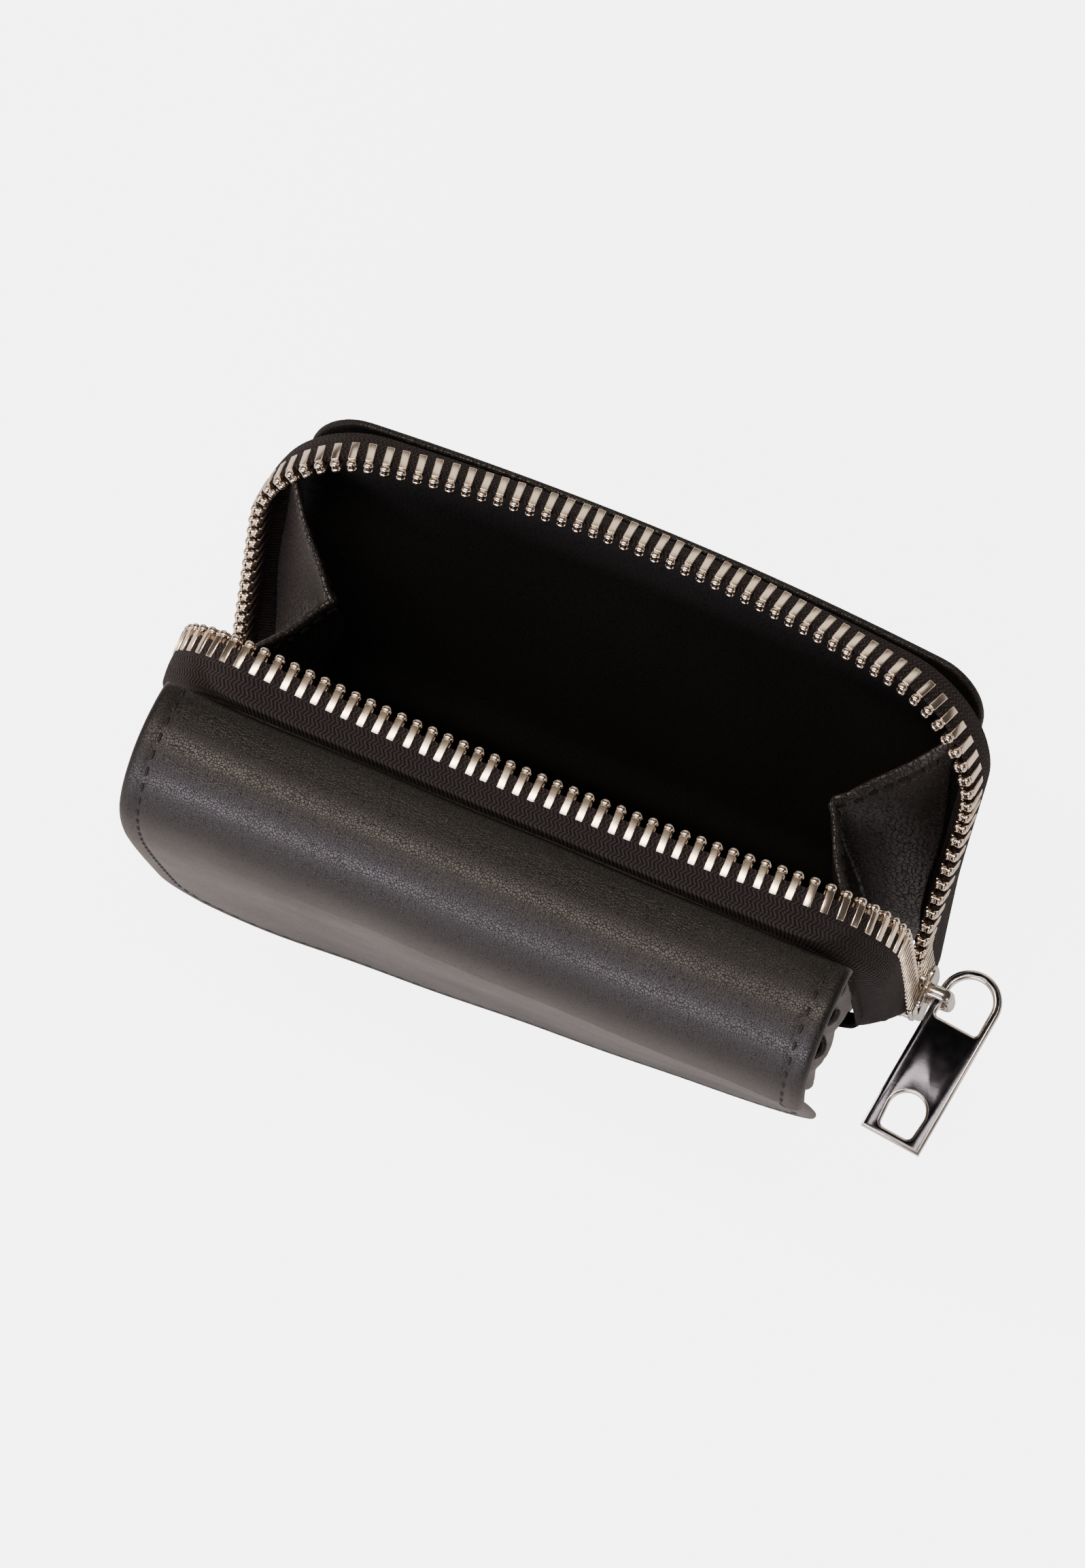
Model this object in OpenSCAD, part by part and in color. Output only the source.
// Compact leather wallet with a zip-around coin pocket behind a flap-covered card section.
// X is the width, -Y the flap side (front), +Z up. z = 0 is the underside and y = 0 the middle
// of the closed zip. The coin pocket stands open: its rear half leans back about the line
// y = 0, z = hinge_z.

/* [Overall] */
// Width of the leather walls
wall_w = 102.6; // [98:0.2:106]
// Height of the leather walls
wall_h = 77; // [74:0.5:80]
// Radius of the upper corners of the coin pocket
corner_r = 15; // [11:0.5:16]
// How far the coin pocket stands open at rest, in degrees
open_angle = 27; // [20:1:30]

/* [Zip] */
// Distance of the zip's side run from the middle plane
chain_x = 54; // [53.5:0.1:56]
// Pitch of the teeth on one tape
tooth_pitch = 2.32; // [2.3:0.01:2.6]
// Thickness of one tooth along the tape
tooth_t = 1.0; // [0.8:0.05:1.05]
// Width of each tape from the wall to the teeth
tape_w = 9.15; // [8:0.05:10]

/* [Puller] */
// Length of the pull tab
puller_l = 28; // [22:0.5:34]
// Width of the pull tab
puller_w = 9.2; // [8:0.1:11]
// Thickness of the pull tab
puller_t = 1.3; // [1:0.1:1.3]

/* [Flap and card section] */
// Width of the card pockets
card_w = 97; // [92:0.5:98]
// Thickness of the flap leather
flap_t = 1.3; // [1:0.1:1.6]

/* [Hidden] */
$fn = 48;
BLACK = [0.07, 0.065, 0.065];
STEEL = [0.80, 0.77, 0.72];
BOARD = [0.5, 0.45, 0.38];
TAPE = [0.09, 0.08, 0.08];

gap = 0.05;         // assembly gap between neighbouring layers
hinge_z = 24;       // height of the line the rear half leans about
row_gap = 2.4;      // stand-off of the rear half, so that the unzipped rows clear each other
snap_z = 30;        // height of the snap fastener

// Layers of a coin pocket wall, as distances outwards from y = 0
lining_t = 0.6;
board_t = 0.7;
front_panel_t = 1.0;
rear_panel_t = 1.2;
lining_y = tape_w + gap;
board_y = lining_y + lining_t + gap;
panel_y = board_y + board_t + gap;
panel_corner = corner_r - 2;
board_inset = 3;    // board edge inside the panel edge, at the sides and top
lining_drop = 0.5;  // lining's top edge below the panel's

// ---- Shared shapes ----

// Stands a 2D shape in the XZ plane, with its thickness reaching forwards from rear_y
module upright(rear_y, thickness)
  translate([0, rear_y, 0]) rotate([90, 0, 0]) linear_extrude(thickness) children();

// Upright plate with rounded upper corners
module plate(width, bottom, top, corner, rear_y, thickness)
  upright(rear_y, thickness) union() {
    translate([-width / 2, bottom]) square([width, top - bottom - corner]);
    translate([-width / 2 + corner, bottom]) square([width - 2 * corner, top - bottom]);
    for (side = [-1, 1]) translate([side * (width / 2 - corner), top - corner]) circle(corner);
  }

module board_plate(bottom, rear_y)
  plate(wall_w - 2 * board_inset, bottom, wall_h - board_inset,
    panel_corner - board_inset, rear_y, board_t);

module lining_plate(bottom, rear_y)
  plate(wall_w, bottom, wall_h - lining_drop, panel_corner - lining_drop, rear_y, lining_t);

// Moves the rear half from its shut place to its open one
module lean()
  translate([0, 0, hinge_z]) rotate([-open_angle, 0, 0])
    translate([0, row_gap, -hinge_z]) children();

// ---- Zip ----

zip_bottom = 22.8;                 // lower end of the front tape
rear_tape_bottom = zip_bottom + 1;
first_tooth = 25.2;
chain_top = wall_h + 1;
corner_x = chain_x - corner_r;
side_top = chain_top - corner_r;   // where the side run ends and the corner begins
arc_len = corner_r * PI / 2;
side_len = side_top - first_tooth;
top_len = 2 * corner_x;
run_len = 2 * side_len + 2 * arc_len + top_len;
n_teeth = floor(run_len / tooth_pitch);
// Distances along the zip where the top run starts and ends, and where the left side starts
top_start = side_len + arc_len;
top_end = top_start + top_len;
left_start = top_end + arc_len;

tape_half_t = 0.35;
flange_w = 9;                      // reach of the tape's sewn edge inside the zip line
flange_t = 0.6;

function corner_point(side, angle) =
  [side * corner_x + corner_r * cos(angle), side_top + corner_r * sin(angle), angle];

function arc_angle(distance) = distance / corner_r * 180 / PI;

// [x, z, outward angle] at a distance along the zip, starting low on the right side
function zip_point(distance) =
  distance < side_len ? [chain_x, first_tooth + distance, 0] :
  distance < top_start ? corner_point(1, arc_angle(distance - side_len)) :
  distance < top_end ? [corner_x - (distance - top_start), chain_top, 90] :
  distance < left_start ? corner_point(-1, 90 + arc_angle(distance - top_end)) :
  [-chain_x, side_top - (distance - left_start), 180];

module at_zip_point(distance) {
  point = zip_point(distance);
  translate([point[0], 0, point[1]]) rotate([0, -point[2], 0]) children();
}

// Filled inverted U, offset outwards from the zip line
module arch_outline(outset, bottom) union() {
  translate([-chain_x - outset, bottom]) square([2 * (chain_x + outset), side_top - bottom]);
  translate([-corner_x, bottom]) square([2 * corner_x, chain_top + outset - bottom]);
  for (side = [-1, 1]) translate([side * corner_x, side_top]) circle(corner_r + outset);
}

// Inverted-U strip from the tape's outer face to an inset inside the zip line
module arch_strip(y0, y1, bottom, inset)
  upright(y1, y1 - y0) difference() {
    arch_outline(tape_half_t, bottom);
    arch_outline(-inset, bottom - 1);
  }

// Front tape: a band towards the teeth and a flange against the wall
module zip_tape(bottom) union() {
  arch_strip(-tape_w, -1.3, bottom, tape_half_t);
  arch_strip(-tape_w, -tape_w + flange_t, bottom, flange_w);
}

// One tooth in a frame of x outwards and z along the tape: the head points towards +y,
// and two legs straddle the tape towards -y
module tooth() {
  leg_w = 0.8;
  leg_x = 0.42;
  translate([-0.9, -1.2, -tooth_t / 2]) cube([1.8, 1.35, tooth_t]);
  translate([0, 0.05, -tooth_t / 2]) cylinder(r = 0.7, h = tooth_t, $fn = 20);
  for (x = [leg_x, -leg_x - leg_w]) translate([x, -3.5, -tooth_t / 2]) cube([leg_w, 2.6, tooth_t]);
}

// Block slotted from its -y end to take the tape
module stop(y, z, length, height, slot) difference() {
  translate([-1.2, y, z]) cube([2.4, length, height]);
  translate([-0.4, y - 0.1, z - 0.1]) cube([0.8, slot, height + 0.2]);
}

module top_stop() stop(y = -3.2, z = -0.8, length = 2.6, height = 1.6, slot = 2.1);

module front_zip_tape() color(TAPE) zip_tape(zip_bottom);

module front_zip_teeth() color(STEEL)
  for (i = [0:n_teeth - 1]) at_zip_point(i * tooth_pitch) tooth();

module front_top_stop() color(STEEL) translate([-chain_x, 0, zip_bottom + 0.9]) top_stop();

module bottom_stop() color(STEEL) translate([chain_x, 0, zip_bottom + 0.2])
  stop(y = -3.0, z = -0.9, length = 4.4, height = 1.5, slot = 1.95);

module rear_zip_tape() color(TAPE) lean() mirror([0, 1, 0]) zip_tape(rear_tape_bottom);

// The rear teeth sit half a pitch along from the front ones
module rear_zip_teeth() color(STEEL) lean()
  for (i = [0:n_teeth - 2]) at_zip_point((i + 0.5) * tooth_pitch) mirror([0, 1, 0]) tooth();

module rear_top_stop() color(STEEL) lean()
  translate([-chain_x, 0, zip_bottom + 2.0]) mirror([0, 1, 0]) top_stop();

// ---- Walls of the coin pocket ----

rear_bottom = 26;   // lower edge of the rear panel and lining

module divider_panel() color(BLACK)
  plate(wall_w, 0, wall_h, panel_corner, -panel_y, front_panel_t);
module divider_board() color(BOARD) board_plate(4, -board_y);
module divider_lining() color(BLACK) lining_plate(1.5, -lining_y);

module rear_panel() color(BLACK) lean()
  plate(wall_w, rear_bottom, wall_h, panel_corner, panel_y + rear_panel_t, rear_panel_t);
module rear_board() color(BOARD) lean() board_plate(rear_bottom + 1, board_y + board_t);
module rear_lining() color(BLACK) lean() lining_plate(rear_bottom, lining_y + lining_t);

// ---- Base ----

base_t = 1.2;
base_lining_z = 1.3;

// Floor from front_y that turns up at the rear, with the upturned part starting at upturn_y
module base_sheet(width, front_y, upturn_y, z, floor_t, upturn_t, upturn_h) {
  translate([-width / 2, front_y, z]) cube([width, upturn_y + upturn_t - front_y, floor_t]);
  translate([-width / 2, upturn_y, z]) cube([width, upturn_t, upturn_h]);
}

module base_wrap() color(BLACK)
  base_sheet(wall_w, -board_y - board_t, row_gap + panel_y, 0, base_t, rear_panel_t, 15);
module base_lining() color(BLACK)
  base_sheet(wall_w - 2, -tape_w, row_gap + lining_y, base_lining_z, lining_t, lining_t, 13.2);

// ---- Gussets ----

leaf_t = 1.2;          // thickness measured along x
leaf_wall_x = 45.6;    // outer face at the wall
leaf_inner_x = 37.2;   // outer face at the end nearest y = 0
leaf_wall_y = tape_w - 0.7;
leaf_inner_y = 1.0;
leaf_top = 64;
front_leaf_bottom = 4;
rear_leaf_bottom = 28;

// Slanting leaf; side is the sign of x, half the sign of y
module gusset_leaf(side, half, bottom) translate([0, 0, bottom])
  linear_extrude(leaf_top - bottom) polygon([
    [side * leaf_wall_x, half * leaf_wall_y],
    [side * (leaf_wall_x - leaf_t), half * leaf_wall_y],
    [side * (leaf_inner_x - leaf_t), half * leaf_inner_y],
    [side * leaf_inner_x, half * leaf_inner_y]]);

module left_gusset_front_leaf() color(BLACK) gusset_leaf(-1, -1, front_leaf_bottom);
module right_gusset_front_leaf() color(BLACK) gusset_leaf(1, -1, front_leaf_bottom);
module left_gusset_rear_leaf() color(BLACK) lean() gusset_leaf(-1, 1, rear_leaf_bottom);
module right_gusset_rear_leaf() color(BLACK) lean() gusset_leaf(1, 1, rear_leaf_bottom);

// ---- Card section; each y is the rear face of its layer ----

backing_t = 0.8;
backing_y = -(panel_y + front_panel_t + gap);
pocket_t = 0.7;
pocket_y = -tape_w - 4.3;    // rearmost card pocket
pocket_step_y = 1.7;
pocket_top = 66;
pocket_step_z = 8;
pocket_bottom = base_t + gap;
note_t = 1.1;
note_y = -tape_w - 12;
ply_t = 0.7;
ply_w = 5.8;
ply_inset = 0.2;
ply_front_y = -tape_w - 9.9; // front face of the rearmost ply

module card_base() color(BLACK) {
  front_y = note_y + gap;
  rear_y = backing_y - backing_t - gap;
  translate([-card_w / 2, front_y, 0]) cube([card_w, rear_y - front_y, base_t]);
}

module card_backing() color(BLACK) plate(wall_w - 1, 0, 74, 8, backing_y, backing_t);

// Card pocket, index 0 being the rearmost and tallest
module card_pocket(index)
  plate(card_w, pocket_bottom, pocket_top - index * pocket_step_z, 3,
    pocket_y - index * pocket_step_y, pocket_t);

module card_pocket_1() color(BLACK) card_pocket(0);
module card_pocket_2() color(BLACK) card_pocket(1);
module card_pocket_3() color(BLACK) card_pocket(2);

module note_pocket_front() color(BLACK) difference() {
  plate(wall_w - 3, 0, 60, 6, note_y, note_t);
  translate([0, note_y + 2, snap_z]) rotate([90, 0, 0]) cylinder(r = 1.6, h = 5);
}

// Three-ply pleat that joins the note pocket's front to the card pockets at each side
module bellows(side) for (i = [0:2])
  translate([side > 0 ? card_w / 2 - ply_inset - ply_w : -card_w / 2 + ply_inset,
      ply_front_y - i, pocket_bottom])
    cube([ply_w, ply_t, 50 + 3 * i]);

module left_bellows() color(BLACK) bellows(-1);
module right_bellows() color(BLACK) bellows(1);

// Round cap and a longer pin, both starting at rear_y and reaching forwards
module stud(rear_y, cap_r, cap_h, pin_r, pin_h)
  translate([0, rear_y, snap_z]) rotate([90, 0, 0]) {
    cylinder(r = cap_r, h = cap_h);
    cylinder(r = pin_r, h = pin_h);
  }

module snap_stud() color(STEEL)
  stud(note_y - note_t - gap, cap_r = 4, cap_h = 0.5, pin_r = 2.0, pin_h = 1.5);
module snap_stud_back() color(STEEL)
  stud(note_y + 0.7, cap_r = 4.2, cap_h = 0.6, pin_r = 1.5, pin_h = 1.8);

// ---- Flap: a flat top, a round crest and a hanging front; depth grows inwards ----

flap_rear_y = -9.3;
flap_front_y = -29.0;
flap_top = 79.2;
flap_bottom = 10;
flap_corner = 12;
crest_r = 9;
crest_y = flap_front_y + crest_r;
crest_z = flap_top - crest_r;
flap_tilt = 3.2;    // degrees the hanging front leans in towards its lower edge

// [y, z] where the crest meets the hanging front
function crest_end(depth) =
  [crest_y - (crest_r - depth) * cos(flap_tilt), crest_z - (crest_r - depth) * sin(flap_tilt)];

// [y, z] on the hanging front at height z
function front_point(depth, z) =
  [crest_end(depth)[0] + (crest_end(depth)[1] - z) * tan(flap_tilt), z];

// Solid under the flap surface at a given depth
module flap_fill(depth, width, bottom, rear_y)
  translate([-width / 2, 0, 0]) rotate([90, 0, 90]) linear_extrude(width) union() {
    polygon([
      crest_end(depth),
      front_point(depth, bottom),
      [rear_y, bottom],
      [rear_y, flap_top - depth],
      [crest_y, flap_top - depth],
      [crest_y, crest_z]]);
    translate([crest_y, crest_z]) circle(crest_r - depth);
  }

module flap_shell(depth, thickness, width, bottom, rear_y) difference() {
  flap_fill(depth, width, bottom, rear_y);
  translate([0, 0, -0.01]) flap_fill(depth + thickness, width + 2, bottom - 1, rear_y + 1);
}

// Block that rounds the two lower corners of the hanging front
module flap_trim(width, bottom, corner)
  translate([0, -50, 0]) rotate([-90, 0, 0]) linear_extrude(60) mirror([0, 1]) union() {
    translate([-width / 2, bottom + corner]) square([width, 90]);
    translate([-width / 2 + corner, bottom]) square([width - 2 * corner, 90]);
    for (side = [-1, 1]) translate([side * (width / 2 - corner), bottom + corner]) circle(corner);
  }

// One layer of the flap, with its edges set in by inset
module flap_layer(depth, thickness, inset) {
  width = wall_w - 2 * inset;
  bottom = flap_bottom + inset;
  intersection() {
    flap_shell(depth, thickness, width, bottom, flap_rear_y - inset);
    flap_trim(width, bottom, flap_corner - inset);
  }
}

module flap_leather() color(BLACK) flap_layer(0, flap_t, 0);
module flap_lining() color(BLACK) flap_layer(flap_t + gap, lining_t, 0.5);

// Cup on the inside of the flap, open to the rear
module snap_socket() color(STEEL) {
  inner_depth = flap_t + gap + lining_t + gap;
  translate([0, front_point(inner_depth, snap_z)[0] + 0.3, snap_z]) rotate([-90, 0, 0])
    difference() {
      cylinder(r = 4, h = 1.3);
      translate([0, 0, 0.4]) cylinder(r = 2.7, h = 3);
    }
}

// ---- Slider and pull tab, on the right side run ----

tail_z = 25.4;
mouth_z = 35.4;
slider_reach = 2.5;    // outer faces of the slider plates from the zip line
slider_plate_t = 1.0;
// Slider plate edge: [half width, height above the tail]
slider_edge = [[4.2, 0], [4.6, 4], [5.5, 7.5], [4.4, 9.4], [2.2, 10]];

bail_x = chain_x + slider_reach + gap;
bail_z = tail_z + 0.8;
bail_reach = 3.7;
bail_w = 2.0;
bail_h = 8.4;
bail_bar = 1.0;        // thickness of the outer bar
bail_leg = 1.6;        // height of each leg

puller_z = bail_z + bail_h / 2;
puller_yaw = 6;        // the tab hangs askew in the bail, its flap-side end nearer the wallet

module slider_outline() polygon(concat(
  [for (p = slider_edge) [p[0], tail_z + p[1]]],
  [for (i = [len(slider_edge) - 1:-1:0]) [-slider_edge[i][0], tail_z + slider_edge[i][1]]]));

// Two plates either side of the tape, joined by a post near the mouth
module slider_body() color(STEEL) {
  for (x = [-slider_reach, slider_reach - slider_plate_t])
    translate([chain_x + x, 0, 0]) rotate([90, 0, 90])
      linear_extrude(slider_plate_t) slider_outline();
  translate([chain_x - 1.6, 0.87, mouth_z - 4.6]) cube([3.2, 0.66, 4.4]);
}

module slider_bail() color(STEEL) difference() {
  translate([bail_x, -bail_w / 2, bail_z]) cube([bail_reach, bail_w, bail_h]);
  translate([bail_x - 1, -bail_w, bail_z + bail_leg])
    cube([bail_reach - bail_bar + 1, 2 * bail_w, bail_h - 2 * bail_leg]);
}

// Strip along the tab with a round +y end centred at y = end, set in by margin at the sides
module round_strip(margin, start, end) {
  translate([margin, start]) square([puller_w - 2 * margin, end - start]);
  translate([puller_w / 2, end]) circle(puller_w / 2 - margin);
}

// Tab with one window at its round end, which takes the bail, and one at its square end
module puller() color(STEEL)
  translate([bail_x + 1.52, 0, puller_z - puller_t / 2]) rotate([0, 0, -puller_yaw])
    translate([-0.65, 6.1, 0]) linear_extrude(puller_t) difference() {
      round_strip(0, -puller_l, -puller_w / 2);
      round_strip(1.3, -8.6, -puller_w / 2);
      round_strip(2.1, -puller_l + 2.1, -puller_l + 5.5);
    }

divider_panel();
divider_board();
divider_lining();
base_wrap();
base_lining();
front_zip_tape();
front_zip_teeth();
front_top_stop();
bottom_stop();
left_gusset_front_leaf();
right_gusset_front_leaf();
card_base();
card_backing();
card_pocket_1();
card_pocket_2();
card_pocket_3();
note_pocket_front();
left_bellows();
right_bellows();
snap_stud();
snap_stud_back();
flap_leather();
flap_lining();
snap_socket();
rear_panel();
rear_board();
rear_lining();
rear_zip_tape();
rear_zip_teeth();
rear_top_stop();
left_gusset_rear_leaf();
right_gusset_rear_leaf();
slider_body();
slider_bail();
puller();
